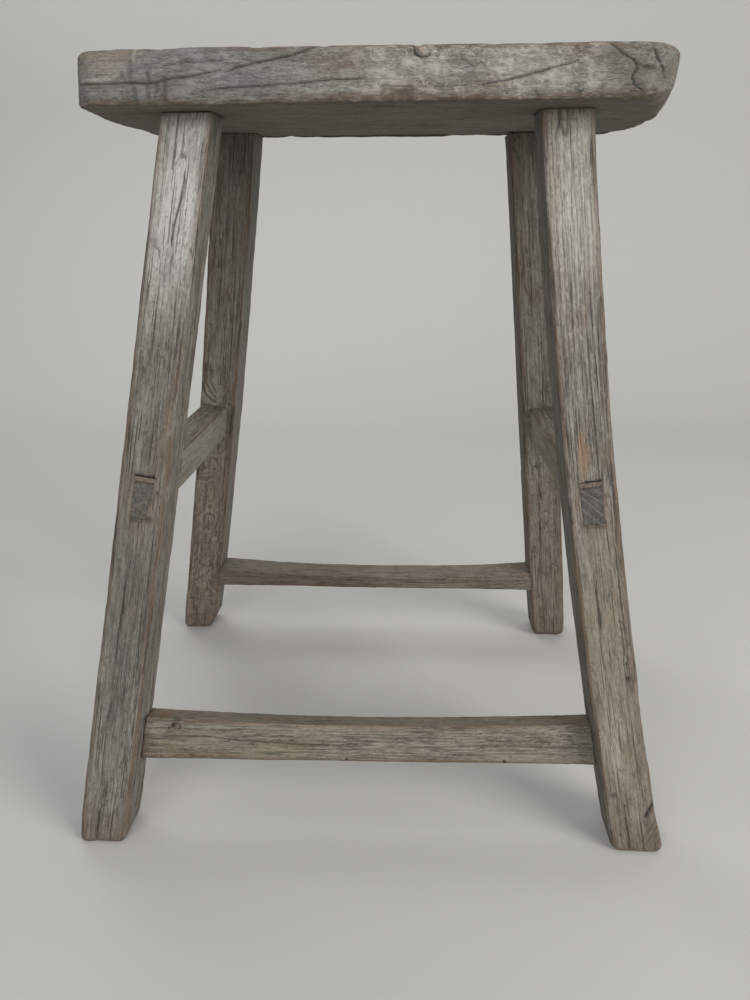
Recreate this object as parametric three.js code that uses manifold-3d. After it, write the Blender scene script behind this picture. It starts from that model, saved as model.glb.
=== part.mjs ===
// An old square-legged milking stool: a thick plank seat on four splayed legs, joined by four
// stretchers with wedged through tenons. Millimetres, +Z up, front towards -Y, and the origin
// on the floor in the middle of the stool.
import * as THREE from "three";
import { mergeVertices } from "three/addons/utils/BufferGeometryUtils.js";
import Module from "manifold-3d";

const wasm = await Module();
wasm.setup();

// Driving dimensions.
const STOOL_HEIGHT = 500;
const SEAT_THICKNESS = 30;
const SEAT_UNDERSIDE = STOOL_HEIGHT - SEAT_THICKNESS;
const SEAT_EDGE_ROUND = 3;
const LEG_WIDTH = 32.5;
const LEG_DEPTH = 35.5;
const LEG_CORNER = 3;
const FIT_GAP = 0.3;
const ROUND_STEPS = 4;
const HOLLOW_STEPS = 16;
const LEG_STEPS = 10;

// The seat's corners in plan, anticlockwise from the front left. The round is at the corner, and
// the bow is how far the edge that leaves it swells outwards: the plank is hand sawn.
const SEAT_CORNERS = [
  { x: -165, y: -105, round: 8, bow: 0 },
  { x: 185, y: -114, round: 16, bow: 12 },
  { x: 184, y: 102, round: 18, bow: 0 },
  { x: -160, y: 94, round: 20, bow: 9 },
];

// Each leg's centre at the seat's underside and on the floor, and how far it bows along X halfway
// up. No two legs splay quite alike.
const LEGS = [
  { name: "leg_front_left", head: [-108.5, -59.5], foot: [-176.5, -161], bow: 0 },
  { name: "leg_front_right", head: [126.5, -62.5], foot: [187.5, -157.5], bow: -7 },
  { name: "leg_rear_left", head: [-103.5, 65.5], foot: [-187.5, 161], bow: 2.5 },
  { name: "leg_rear_right", head: [123, 75.5], foot: [177.5, 154.5], bow: 0 },
];

// The tenon on top of each leg goes right through the seat and is spread by one wedge.
const LEG_TENON = { width: 26, depth: 16, round: 1 };
const LEG_WEDGE = { thick: 3.4, thin: 1, length: 20 };

// Each stretcher: the legs it joins, its height above the floor, its section, how far it sits
// towards the across direction from the legs' middle, and how deep its top is worn hollow. Its
// through tenons share its underside, and their offset is measured from the stretcher's middle.
const STRETCHERS = [
  {
    name: "stretcher_front",
    between: ["leg_front_left", "leg_front_right"],
    level: 65.5,
    height: 30,
    thickness: 19,
    offset: -7,
    wear: 0,
    tenon: { height: 24, thickness: 13, offset: 0 },
  },
  {
    name: "stretcher_rear",
    between: ["leg_rear_left", "leg_rear_right"],
    level: 68.5,
    height: 21.5,
    thickness: 23,
    offset: 5.5,
    wear: 7.5,
    tenon: { height: 16, thickness: 13, offset: 0 },
  },
  {
    name: "stretcher_left",
    between: ["leg_front_left", "leg_rear_left"],
    level: 234.5,
    height: 29,
    thickness: 22,
    offset: -2,
    wear: 0,
    tenon: { height: 24, thickness: 14, offset: 3 },
  },
  {
    name: "stretcher_right",
    between: ["leg_front_right", "leg_rear_right"],
    level: 233.5,
    height: 29,
    thickness: 22,
    offset: 1.5,
    wear: 0,
    tenon: { height: 24, thickness: 14, offset: -2.5 },
  },
];
// The wedge above each stretcher's through tenon, driven in from the leg's outer face.
const TENON_WEDGE = { thick: 3.4, thin: 1, length: 22 };

const X_AXIS = new THREE.Vector3(1, 0, 0);
const Y_AXIS = new THREE.Vector3(0, 1, 0);

const wood = (name, color) => new THREE.MeshStandardMaterial({ name, color, roughness: 0.86, metalness: 0 });
const SEAT_WOOD = wood("seat_wood", 0x85796d);
const LEG_WOOD = wood("leg_wood", 0x7c7064);
const STRETCHER_WOOD = wood("stretcher_wood", 0x756a5e);
const WEDGE_WOOD = wood("wedge_wood", 0x5d5147);

// Solids and meshes.

function solidOf(geometry) {
  geometry.deleteAttribute("normal");
  geometry.deleteAttribute("uv");
  const merged = mergeVertices(geometry, 1e-4);
  const vertProperties = new Float32Array(merged.attributes.position.array);
  const triVerts = new Uint32Array(merged.index.array);
  return new wasm.Manifold(new wasm.Mesh({ numProp: 3, vertProperties, triVerts }));
}

function meshOf(name, solid, material, origin) {
  const { vertProperties, triVerts } = solid.getMesh();
  const geometry = new THREE.BufferGeometry();
  geometry.setAttribute("position", new THREE.Float32BufferAttribute(vertProperties, 3));
  geometry.setIndex(new THREE.Uint32BufferAttribute(triVerts, 1));
  geometry.translate(-origin.x, -origin.y, -origin.z);
  geometry.computeVertexNormals();
  const mesh = new THREE.Mesh(geometry, material);
  mesh.name = name;
  mesh.position.copy(origin);
  return mesh;
}

// A flat outline pulled through a thickness centred on its own plane, then carried into place.
function prism(shape, thickness, matrix) {
  const geometry = new THREE.ExtrudeGeometry(shape, {
    depth: thickness,
    bevelEnabled: false,
    curveSegments: HOLLOW_STEPS,
  });
  geometry.translate(0, 0, -thickness / 2);
  return solidOf(geometry.applyMatrix4(matrix));
}

const polygon = (points) => new THREE.Shape(points.map(([x, y]) => new THREE.Vector2(x, y)));

function roundedRectangle(width, depth, radius) {
  const x = width / 2 - radius;
  const y = depth / 2 - radius;
  const shape = new THREE.Shape();
  shape.absarc(x, y, radius, 0, Math.PI / 2);
  shape.absarc(-x, y, radius, Math.PI / 2, Math.PI);
  shape.absarc(-x, -y, radius, Math.PI, Math.PI * 1.5);
  shape.absarc(x, -y, radius, Math.PI * 1.5, Math.PI * 2);
  return shape;
}

// Legs.

const legNamed = (name) => LEGS.find((leg) => leg.name === name);

function legCentre(leg, height) {
  const part = height / SEAT_UNDERSIDE;
  const foot = new THREE.Vector3(...leg.foot, 0);
  const centre = foot.lerp(new THREE.Vector3(...leg.head, SEAT_UNDERSIDE), part);
  centre.x += 4 * leg.bow * part * (1 - part);
  return centre;
}

// A level section carried up a leg's slant and bow, with its ends still level.
function slantedPrism(leg, section, bottom, top, steps) {
  const geometry = new THREE.ExtrudeGeometry(section, {
    depth: top - bottom,
    steps,
    bevelEnabled: false,
    curveSegments: ROUND_STEPS,
  });
  geometry.translate(0, 0, bottom);
  const position = geometry.attributes.position;
  for (let i = 0; i < position.count; i++) {
    const centre = legCentre(leg, position.getZ(i));
    position.setXY(i, position.getX(i) + centre.x, position.getY(i) + centre.y);
  }
  return solidOf(geometry);
}

function legBlank(leg, gap) {
  const section = roundedRectangle(LEG_WIDTH + 2 * gap, LEG_DEPTH + 2 * gap, LEG_CORNER + gap);
  return slantedPrism(leg, section, 0, SEAT_UNDERSIDE - FIT_GAP, LEG_STEPS);
}

function legTenon(leg, gap) {
  const { width, depth, round } = LEG_TENON;
  const section = roundedRectangle(width + 2 * gap, depth + 2 * gap, round + gap);
  return slantedPrism(leg, section, SEAT_UNDERSIDE - 2 * LEG_CORNER, STOOL_HEIGHT + gap, 1);
}

// The wedge is a tall thin keystone across the seat's grain, thick end up.
function legWedge(leg, gap) {
  const { thick, thin, length } = LEG_WEDGE;
  const top = length / 2 + gap;
  const bottom = -length / 2 - gap;
  const outline = polygon([
    [-thin / 2 - gap, bottom],
    [thin / 2 + gap, bottom],
    [thick / 2 + gap, top],
    [-thick / 2 - gap, top],
  ]);
  const centre = legCentre(leg, STOOL_HEIGHT - length / 2);
  const rise = legCentre(leg, STOOL_HEIGHT).sub(centre).divideScalar(length / 2);
  const matrix = new THREE.Matrix4().makeBasis(X_AXIS, rise, Y_AXIS.clone().negate()).setPosition(centre);
  return prism(outline, LEG_TENON.depth + 2 * gap, matrix);
}

// Stretchers.

// A stretcher's own frame: x along it, y up its face and z across it, square to both. It leans
// with the mean of its two legs.
function stretcherFrame(stretcher) {
  const [first, second] = stretcher.between.map(legNamed);
  const start = legCentre(first, stretcher.level);
  const end = legCentre(second, stretcher.level);
  const along = end.clone().sub(start).normalize();
  const lean = legCentre(first, SEAT_UNDERSIDE)
    .sub(legCentre(first, 0))
    .add(legCentre(second, SEAT_UNDERSIDE).sub(legCentre(second, 0)));
  const across = along.clone().cross(lean).normalize();
  const up = across.clone().cross(along);
  const middle = start.add(end).divideScalar(2);
  // How far along the stretcher a leg's centre line is, at a height up the stretcher's face.
  const legAt = (leg, height) =>
    legCentre(leg, stretcher.level + height * up.z)
      .sub(middle)
      .dot(along);
  const origin = middle.clone().addScaledVector(across, stretcher.offset);
  const tenonOrigin = origin.clone().addScaledVector(across, stretcher.tenon.offset);
  const matrix = new THREE.Matrix4().makeBasis(along, up, across).setPosition(origin);
  const tenonMatrix = matrix.clone().setPosition(tenonOrigin);
  const legHalf = Math.abs(along.x) > Math.abs(along.y) ? LEG_WIDTH / 2 : LEG_DEPTH / 2;
  return { first, second, legAt, matrix, tenonMatrix, origin, legHalf };
}

// The face of a stretcher from one leg's centre line to the other's, or past them by a reach.
function stretcherOutline(frame, low, high, reach, wear) {
  const shape = new THREE.Shape();
  shape.moveTo(frame.legAt(frame.first, low) - reach, low);
  shape.lineTo(frame.legAt(frame.second, low) + reach, low);
  shape.lineTo(frame.legAt(frame.second, high) + reach, high);
  const last = frame.legAt(frame.first, high) - reach;
  if (wear > 0) shape.quadraticCurveTo(0, high - 2 * wear, last, high);
  else shape.lineTo(last, high);
  return shape;
}

function stretcherTenon(stretcher, frame, gap) {
  const { height, thickness } = stretcher.tenon;
  const bottom = -stretcher.height / 2 - gap;
  const top = -stretcher.height / 2 + height + gap;
  const outline = stretcherOutline(frame, bottom, top, frame.legHalf + gap, 0);
  return prism(outline, thickness + 2 * gap, frame.tenonMatrix);
}

function stretcherBody(stretcher, frame) {
  const { height, thickness, wear } = stretcher;
  const face = stretcherOutline(frame, -height / 2, height / 2, 0, wear);
  return prism(face, thickness, frame.matrix)
    .subtract(legBlank(frame.first, FIT_GAP))
    .subtract(legBlank(frame.second, FIT_GAP));
}

// The wedge on top of a through tenon, at the first leg (side -1) or the second (side 1).
function tenonWedge(stretcher, frame, side, gap) {
  const { thick, thin, length } = TENON_WEDGE;
  const leg = side < 0 ? frame.first : frame.second;
  const low = stretcher.tenon.height - stretcher.height / 2 + FIT_GAP;
  const face = (height) => frame.legAt(leg, height) + side * (frame.legHalf + gap);
  const corners = [
    [face(low) - side * (length + 2 * gap), low - gap],
    [face(low - gap), low - gap],
    [face(low + thick + gap), low + thick + gap],
    [face(low) - side * (length + 2 * gap), low + thin + gap],
  ];
  if (side < 0) corners.reverse();
  return prism(polygon(corners), stretcher.tenon.thickness + 2 * gap, frame.tenonMatrix);
}

// Seat.

// A closed outline through rounded corners, with each edge straight or bowed outwards.
function plankOutline(corners) {
  const shape = new THREE.Shape();
  const point = ({ x, y }) => new THREE.Vector2(x, y);
  corners.forEach((corner, index) => {
    const next = corners[(index + 1) % corners.length];
    const here = point(corner);
    const there = point(next);
    const along = there.clone().sub(here).normalize();
    const outward = new THREE.Vector2(along.y, -along.x);
    const swell = here.clone().add(there).divideScalar(2).addScaledVector(outward, 2 * corner.bow);
    const leave = here.clone().addScaledVector(along, corner.round);
    const arrive = there.clone().addScaledVector(along, -next.round);
    if (index === 0) shape.moveTo(leave.x, leave.y);
    else shape.quadraticCurveTo(here.x, here.y, leave.x, leave.y);
    if (corner.bow > 0) shape.quadraticCurveTo(swell.x, swell.y, arrive.x, arrive.y);
    else shape.lineTo(arrive.x, arrive.y);
    if (index === corners.length - 1) {
      const first = point(next);
      const away = point(corners[1]).sub(first).normalize().multiplyScalar(next.round).add(first);
      shape.quadraticCurveTo(first.x, first.y, away.x, away.y);
    }
  });
  return shape;
}

function seatSolid() {
  const blank = new THREE.ExtrudeGeometry(plankOutline(SEAT_CORNERS), {
    depth: SEAT_THICKNESS - 2 * SEAT_EDGE_ROUND,
    bevelEnabled: true,
    bevelThickness: SEAT_EDGE_ROUND,
    bevelSize: SEAT_EDGE_ROUND,
    bevelOffset: -SEAT_EDGE_ROUND,
    bevelSegments: 2,
    curveSegments: 2 * ROUND_STEPS,
  });
  blank.translate(0, 0, SEAT_UNDERSIDE + SEAT_EDGE_ROUND);
  return LEGS.reduce((seat, leg) => seat.subtract(legTenon(leg, FIT_GAP)), solidOf(blank));
}

// The stool.

const frames = new Map(STRETCHERS.map((stretcher) => [stretcher.name, stretcherFrame(stretcher)]));

// A leg with its tenon, cut for its wedge and for the stretchers that pass through it.
function legSolid(leg) {
  const whole = legBlank(leg, 0).add(legTenon(leg, 0)).subtract(legWedge(leg, FIT_GAP));
  return STRETCHERS.filter((stretcher) => stretcher.between.includes(leg.name)).reduce((solid, stretcher) => {
    const frame = frames.get(stretcher.name);
    const side = stretcher.between[0] === leg.name ? -1 : 1;
    return solid
      .subtract(stretcherTenon(stretcher, frame, FIT_GAP))
      .subtract(tenonWedge(stretcher, frame, side, FIT_GAP));
  }, whole);
}

const stool = new THREE.Group();
const legs = new THREE.Group();
const stretchers = new THREE.Group();
const wedges = new THREE.Group();
stool.add(legs, stretchers, wedges);

stool.add(meshOf("seat", seatSolid(), SEAT_WOOD, new THREE.Vector3(0, 0, SEAT_UNDERSIDE)));

for (const leg of LEGS) {
  legs.add(meshOf(leg.name, legSolid(leg), LEG_WOOD, legCentre(leg, 0)));
  const wedgeName = leg.name.replace("leg", "wedge_seat");
  wedges.add(meshOf(wedgeName, legWedge(leg, 0), WEDGE_WOOD, legCentre(leg, STOOL_HEIGHT)));
}

for (const stretcher of STRETCHERS) {
  const frame = frames.get(stretcher.name);
  const solid = stretcherBody(stretcher, frame).add(stretcherTenon(stretcher, frame, 0));
  stretchers.add(meshOf(stretcher.name, solid, STRETCHER_WOOD, frame.origin));
  for (const side of [-1, 1]) {
    const leg = side < 0 ? frame.first : frame.second;
    const wedgeName = `${stretcher.name.replace("stretcher", "wedge")}_at_${leg.name.replace("leg_", "")}`;
    const wedge = tenonWedge(stretcher, frame, side, 0);
    wedges.add(meshOf(wedgeName, wedge, WEDGE_WOOD, legCentre(leg, stretcher.level)));
  }
}

export default stool;
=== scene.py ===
"""An old milking stool in weathered wood: a plank seat, four splayed legs and four stretchers."""

import math

import bmesh
import bpy
import numpy as np
from mathutils import Matrix, Vector


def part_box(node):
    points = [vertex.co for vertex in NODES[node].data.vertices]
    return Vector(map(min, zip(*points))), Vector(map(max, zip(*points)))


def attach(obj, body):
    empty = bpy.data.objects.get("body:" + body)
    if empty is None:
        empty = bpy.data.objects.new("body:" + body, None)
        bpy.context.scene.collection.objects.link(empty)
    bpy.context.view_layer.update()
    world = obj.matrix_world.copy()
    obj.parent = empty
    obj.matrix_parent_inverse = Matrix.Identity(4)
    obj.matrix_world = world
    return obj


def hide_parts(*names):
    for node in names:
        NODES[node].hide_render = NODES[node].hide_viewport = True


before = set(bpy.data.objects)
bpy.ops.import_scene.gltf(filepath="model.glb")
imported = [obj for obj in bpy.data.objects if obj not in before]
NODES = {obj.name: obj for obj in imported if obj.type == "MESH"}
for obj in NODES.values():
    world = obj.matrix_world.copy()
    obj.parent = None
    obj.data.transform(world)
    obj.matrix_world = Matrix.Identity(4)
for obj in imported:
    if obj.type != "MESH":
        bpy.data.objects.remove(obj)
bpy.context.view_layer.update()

MM = 0.001

bl_info = {
    "name": "Weathered milking stool",
    "version": (1, 0, 0),
    "blender": (4, 5, 0),
    "location": "3D View > Sidebar > Stool",
    "description": "Builds a weathered wooden milking stool and its plain studio",
    "category": "Object",
}

LEGS = ("leg_front_left", "leg_front_right", "leg_rear_left", "leg_rear_right")
STRETCHERS = ("stretcher_front", "stretcher_rear", "stretcher_left", "stretcher_right")

# Seeds of each kind of piece's noise.
SEAT_SEED, LEG_SEED, STRETCHER_SEED, WEDGE_SEED = 300, 1000, 2000, 3000

# How much wider than its CAD neighbour each hole is cut, in metres.
SEAT_HOLE_GAP = 0.0004
SEAT_HOLE_WEDGE_GAP = 0.0008
LEG_TENON_GAP = 0.0003
LEG_MORTISE_GAP = 0.0001
STRETCHER_TENON_GAP = 0.0003
STRETCHER_WEDGE_GAP = 0.0009

# Edges sharper than this are shaded as edges.
SHARP_ANGLE = math.radians(58)

# Colours of the marks that age has left, and of painted shade, as linear red, green and blue.
DARK_CRACK_AND_SHADE = (0.016, 0.013, 0.011)
WARM_WEAR = (0.140, 0.092, 0.058)
BROWN_ROT = (0.060, 0.038, 0.022)
END_GRAIN = (0.045, 0.047, 0.051)
RUST = (0.20, 0.095, 0.042)
COOL_GREY = (0.20, 0.20, 0.205)
SOOT = (0.035, 0.033, 0.030)
DEEP_BROWN = (0.07, 0.055, 0.045)
DULL_BROWN = (0.11, 0.09, 0.075)
PALE_FIBRE = (0.30, 0.255, 0.20)


# Noise and falloffs.


def lattice(cell, seed):
    """A repeatable number from -1 to 1 for each whole-number cell."""
    mix = cell[:, 0] * 374761393 + cell[:, 1] * 668265263 + cell[:, 2] * 1440670441
    mix = (mix + seed * 1274126177) & 0xFFFFFFFF
    mix = ((mix ^ (mix >> 13)) * 1274126177) & 0xFFFFFFFF
    mix = ((mix ^ (mix >> 15)) * 461845907) & 0xFFFFFFFF
    return ((mix ^ (mix >> 16)) & 0xFFFF) / 32767.5 - 1.0


def noise(points, size, seed):
    """Smooth noise from -1 to 1, whose features have the given size along each axis."""
    scaled = points / np.asarray(size, float)
    base = np.floor(scaled).astype(np.int64)
    part = scaled - base
    part = part * part * (3 - 2 * part)
    total = np.zeros(len(points))
    for x in (0, 1):
        for y in (0, 1):
            for z in (0, 1):
                weight = (
                    (part[:, 0] if x else 1 - part[:, 0])
                    * (part[:, 1] if y else 1 - part[:, 1])
                    * (part[:, 2] if z else 1 - part[:, 2])
                )
                total += weight * lattice(base + (x, y, z), seed)
    return total


def rise(value, low, high):
    """0 below low and 1 above high, smoothly between."""
    part = np.clip((value - low) / (high - low), 0, 1)
    return part * part * (3 - 2 * part)


def fall(value, low, high):
    """1 below low and 0 above high, smoothly between."""
    return 1 - rise(value, low, high)


def polyline_distance(across, along, line):
    """Distance from each point to a line of points, and how far along the line that is, 0 to 1."""
    best = np.full(len(across), 1e9)
    where = np.zeros(len(across))
    lengths = [math.dist(a, b) for a, b in zip(line, line[1:])]
    done = 0.0
    for (ax, ay), (bx, by), length in zip(line, line[1:], lengths):
        dx, dy = (bx - ax) / length, (by - ay) / length
        t = np.clip((across - ax) * dx + (along - ay) * dy, 0, length)
        away = np.hypot(across - ax - t * dx, along - ay - t * dy)
        nearer = away < best
        best = np.where(nearer, away, best)
        where = np.where(nearer, (done + t) / sum(lengths), where)
        done += length
    return best, where


# Meshes.


def grid_box(low, high, cells):
    """A box whose faces are a grid of the given number of cells along each axis."""
    low, high = Vector(low), Vector(high)
    bm = bmesh.new()
    bmesh.ops.create_cube(bm, size=1)
    bmesh.ops.scale(bm, vec=high - low, verts=bm.verts)
    bmesh.ops.translate(bm, vec=(low + high) / 2, verts=bm.verts)
    for axis in range(3):
        edges = [
            edge
            for edge in bm.edges
            if abs((edge.verts[1].co - edge.verts[0].co).normalized()[axis]) > 0.9
        ]
        bmesh.ops.subdivide_edges(bm, edges=edges, cuts=cells[axis] - 1, use_grid_fill=True)
    bmesh.ops.recalc_face_normals(bm, faces=bm.faces)
    return bm


def points_of(mesh, key="co"):
    flat = np.empty(len(mesh.vertices) * 3)
    mesh.vertices.foreach_get(key, flat)
    return flat.reshape(-1, 3)


def normals_of(mesh):
    return points_of(mesh, "normal")


def set_points(mesh, points):
    if not np.isfinite(points).all():
        raise RuntimeError(mesh.name + " has points that are not numbers")
    mesh.vertices.foreach_set("co", np.ascontiguousarray(points, np.float32).ravel())
    mesh.update()


def new_piece(name, bm):
    mesh = bpy.data.meshes.new(name)
    bm.to_mesh(mesh)
    bm.free()
    piece = bpy.data.objects.new(name, mesh)
    bpy.context.scene.collection.objects.link(piece)
    return piece


def bevel(bm, edges, width, segments):
    bmesh.ops.bevel(
        bm,
        geom=edges,
        offset=width,
        offset_type="OFFSET",
        segments=segments,
        profile=0.5,
        affect="EDGES",
        material=-1,
    )


def cad_copy(node, swell):
    """A closed copy of a CAD node's solid, swollen by a gap in metres."""
    bm = bmesh.new()
    bm.from_mesh(NODES[node].data)
    bmesh.ops.remove_doubles(bm, verts=bm.verts, dist=1e-5)
    bmesh.ops.dissolve_degenerate(bm, dist=1e-6, edges=bm.edges)
    bm.normal_update()
    moves = [vert.normal * swell * min(vert.calc_shell_factor(), 2.5) for vert in bm.verts]
    for vert, move in zip(bm.verts, moves):
        vert.co += move
    return new_piece("cutter_" + node, bm)


def cut_away(piece, joints):
    """Cuts a piece by its CAD neighbours: each row of joints is their names and the gap to leave."""
    cutters = [cad_copy(name, gap) for names, gap in joints for name in names]
    for cutter in cutters:
        modifier = piece.modifiers.new("Joint", "BOOLEAN")
        modifier.operation = "DIFFERENCE"
        modifier.solver = "MANIFOLD"
        modifier.object = cutter
    bpy.context.view_layer.update()
    depsgraph = bpy.context.evaluated_depsgraph_get()
    cut = bpy.data.meshes.new_from_object(piece.evaluated_get(depsgraph), depsgraph=depsgraph)
    piece.modifiers.clear()
    blank, piece.data = piece.data, cut
    cut.name = piece.name
    if len(cut.polygons) in (0, len(blank.polygons)):
        raise RuntimeError(piece.name + " was not cut as it should be")
    bpy.data.meshes.remove(blank)
    for cutter in cutters:
        mesh = cutter.data
        bpy.data.objects.remove(cutter)
        bpy.data.meshes.remove(mesh)
    keep_largest(piece)


def keep_largest(piece):
    """Drops the loose scraps that a cut leaves."""
    bm = bmesh.new()
    bm.from_mesh(piece.data)
    unseen = set(bm.verts)
    islands = []
    while unseen:
        stack = [unseen.pop()]
        island = list(stack)
        while stack:
            for edge in stack.pop().link_edges:
                for vert in edge.verts:
                    if vert in unseen:
                        unseen.remove(vert)
                        stack.append(vert)
                        island.append(vert)
        islands.append(island)
    islands.sort(key=len)
    scraps = [vert for island in islands[:-1] for vert in island]
    if scraps:
        bmesh.ops.delete(bm, geom=scraps, context="VERTS")
    bm.to_mesh(piece.data)
    bm.free()


def write_attribute(mesh, name, kind, key, values):
    attribute = mesh.attributes.new(name, kind, "POINT")
    attribute.data.foreach_set(key, np.ascontiguousarray(values, np.float32).ravel())


def soften(points, low, high, rounds):
    """Rounds a grid box's edges by radii that may change from point to point.

    Returns the rounded points and the direction that each one faces."""
    middle = (np.asarray(low, float) + np.asarray(high, float)) / 2
    half = (np.asarray(high, float) - np.asarray(low, float)) / 2
    rounds = np.minimum(rounds, half * 0.98)
    inner = half - rounds
    offset = points - middle
    core = np.clip(offset, -inner, inner)
    rest = (offset - core) / rounds
    largest = np.abs(rest).max(axis=1)
    length = np.linalg.norm(rest, axis=1)
    length[length < 1e-9] = 1
    rest *= (largest / length)[:, None]
    facing = rest / rounds
    size = np.linalg.norm(facing, axis=1)
    size[size < 1e-9] = 1
    return middle + core + rest * rounds, facing / size[:, None]


def soften_plank(points, half, thickness, corner, edge):
    """Rounds a plank's corners in plan and its edges, by radii that change from point to point."""
    inner = half - corner[:, None]
    core = np.clip(points[:, :2], -inner, inner)
    rest = (points[:, :2] - core) / corner[:, None]
    largest = np.abs(rest).max(axis=1)
    length = np.linalg.norm(rest, axis=1)
    outward = rest / np.maximum(length, 1e-9)[:, None]
    plan = core + outward * (largest * corner)[:, None]
    upper = points[:, 2] > thickness / 2
    depth = np.where(upper, thickness - points[:, 2], points[:, 2])
    beside = np.clip(1 - corner * (1 - largest) / edge, 0, 1)
    above = np.clip(1 - depth / edge, 0, 1)
    share = np.maximum(beside, above) / np.maximum(np.hypot(beside, above), 1e-9)
    plan += outward * (edge * beside * (share - 1))[:, None]
    drop = edge * above * (1 - share)
    return np.column_stack([plan, points[:, 2] + np.where(upper, -drop, drop)])


class Marks:
    """What age has done to one piece, with the light and shade painted on it: relief in millimetres, colour
    and darkness.
    """

    def __init__(self, points, facing):
        self.points = points
        self.facing = facing
        self.relief, self.dark, self.worn = np.zeros((3, len(points)))
        self.paint = np.zeros((len(points), 4))

    def face(self, axis, side):
        """1 on the face that looks along an axis, 0 on the others."""
        return rise(self.facing[:, axis] * side, 0.55, 0.8)

    def darken(self, amount):
        self.dark = np.maximum(self.dark, amount)

    def tint(self, colour, strength):
        strength = np.clip(strength, 0, 1)
        old = self.paint[:, 3]
        total = old + strength * (1 - old)
        share = np.where(total > 1e-6, strength / np.maximum(total, 1e-6), 0)
        for i in range(3):
            self.paint[:, i] = self.paint[:, i] * (1 - share) + colour[i] * share
        self.paint[:, 3] = total


class Side:
    """One side of a piece, with the two coordinates, in millimetres, that place its marks."""

    def __init__(self, marks, mask, across, along):
        self.marks, self.mask, self.across, self.along = marks, mask, across, along

    def crack(self, line, width, depth, seed, dark=1.0):
        """A drying crack that wanders a little and tapers to its ends, with painted shade beside it."""
        points = self.marks.points
        wander = noise(points, (5, 5, 5), seed) * 0.5 + noise(points, (2, 2, 2), seed + 1) * 0.25
        away, where = polyline_distance(self.across + wander, self.along + wander * 0.5, line)
        taper = 0.45 + 0.55 * np.sqrt(np.clip(4 * where * (1 - where), 0, 1))
        breadth = 0.74 * width * taper * (1 + 0.3 * noise(points, (4, 4, 4), seed + 2))
        groove = self.mask * fall(away, breadth * 0.3, breadth)
        self.marks.relief -= depth * groove
        self.marks.darken(groove * dark * 0.92)
        # Painted shade: a faint darkening beside the crack, wider than its groove.
        self.marks.darken(self.mask * fall(away, breadth * 0.8, breadth * 2.4) * 0.2 * dark)

    def cracks(self, rows, seed, step):
        """A crack for each row of line, width, depth and darkness."""
        for number, (line, width, depth, dark) in enumerate(rows):
            self.crack(line, width, depth, seed + step * number, dark)

    def hole(self, centre, radius, depth):
        """A nail hole, round and dark."""
        away = np.hypot(self.across - centre[0], self.along - centre[1])
        inside = self.mask * fall(away, radius * 0.6, radius * 1.1)
        self.marks.relief -= depth * inside
        self.marks.darken(inside)

    def streak(self, line, width, colour, strength, seed):
        """A line of colour with a wandering edge."""
        wander = noise(self.marks.points, (4, 4, 4), seed) * 0.6
        away, _ = polyline_distance(self.across + wander, self.along + wander, line)
        self.marks.tint(colour, self.mask * fall(away, width * 0.4, width) * strength)

    def patch(self, centre, size, colour, strength, seed, hollow=0.0, edge=0.5):
        """A stain, dent or flake, or a pool of painted light, with a ragged outline."""
        points = self.marks.points
        ragged = 0.28 * noise(points, np.asarray((size[0], size[0], size[1])) * 0.35 + 0.8, seed)
        ragged = ragged + 0.15 * noise(points, (1.6, 1.6, 1.6), seed + 1)
        away = np.hypot((self.across - centre[0]) / size[0], (self.along - centre[1]) / size[1]) + ragged
        inside = self.mask * fall(away, 1 - edge, 1 + edge * 0.2)
        self.marks.relief -= hollow * inside
        self.marks.tint(colour, inside * strength)
        return inside

    def patches(self, rows):
        for row in rows:
            self.patch(*row)

    def knot(self, centre, size, seed):
        """A small knot: a raised dark eye with rings about it."""
        marks = self.marks
        away = np.hypot((self.across - centre[0]) / size[0], (self.along - centre[1]) / size[1])
        away = away + 0.12 * noise(marks.points, (size[0], size[0], size[1]), seed)
        near = self.mask * fall(away, 0.9, 1.25)
        rings = 0.5 + 0.5 * np.cos(away * 17)
        marks.relief += near * (0.25 - 0.3 * rings)
        marks.darken(near * (0.25 + 0.45 * rings) * 0.8)
        marks.tint(BROWN_ROT, near * 0.45)


def weather(marks, grain, seed, rough=1.0, lines=1.0):
    """Relief and darkness common to all the wood. The grain runs along the third coordinate."""
    bend = np.zeros_like(grain)
    swirl = noise(grain, (26, 26, 60), seed + 11) * 2.6 + noise(grain, (9, 9, 24), seed + 12) * 0.9
    bend[:, 0] = swirl
    bend[:, 1] = -swirl * 0.8
    strand = grain + bend
    broad = noise(grain, (34, 34, 90), seed + 1) * 0.42 + noise(grain, (13, 13, 40), seed + 2) * 0.22
    fibre = noise(strand, (2.1, 2.1, 34), seed + 3) * 0.5 + noise(strand, (1.15, 1.15, 17), seed + 4) * 0.5
    dents = noise(grain, (5, 5, 7), seed + 5)
    pits = rise(noise(grain, (2.2, 2.2, 3.4), seed + 6), 0.52, 0.85)
    ridge = 1 - np.abs(noise(strand, (3.1, 3.1, 52), seed + 7))
    gate = rise(noise(grain, (12, 12, 46), seed + 8), -0.25, 0.35)
    checks = rise(ridge, 0.925, 0.99) * gate
    ridge = 1 - np.abs(noise(strand, (1.7, 1.7, 30), seed + 9))
    hairs = rise(ridge, 0.86, 0.98) * rise(noise(grain, (8, 8, 30), seed + 10), -0.3, 0.4)
    relief = broad + fibre * 0.13 + dents * 0.13 - pits * 0.22 - (checks * 0.55 + hairs * 0.18) * lines
    marks.relief += relief * bpy.context.scene.milking_stool.relief * rough
    streak = rise(-fibre, 0.05, 0.75)
    dark = (checks * 0.7 + hairs * 0.36 + streak * 0.22) * lines + pits * 0.3
    marks.darken(np.clip(dark, 0, 1))


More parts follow.
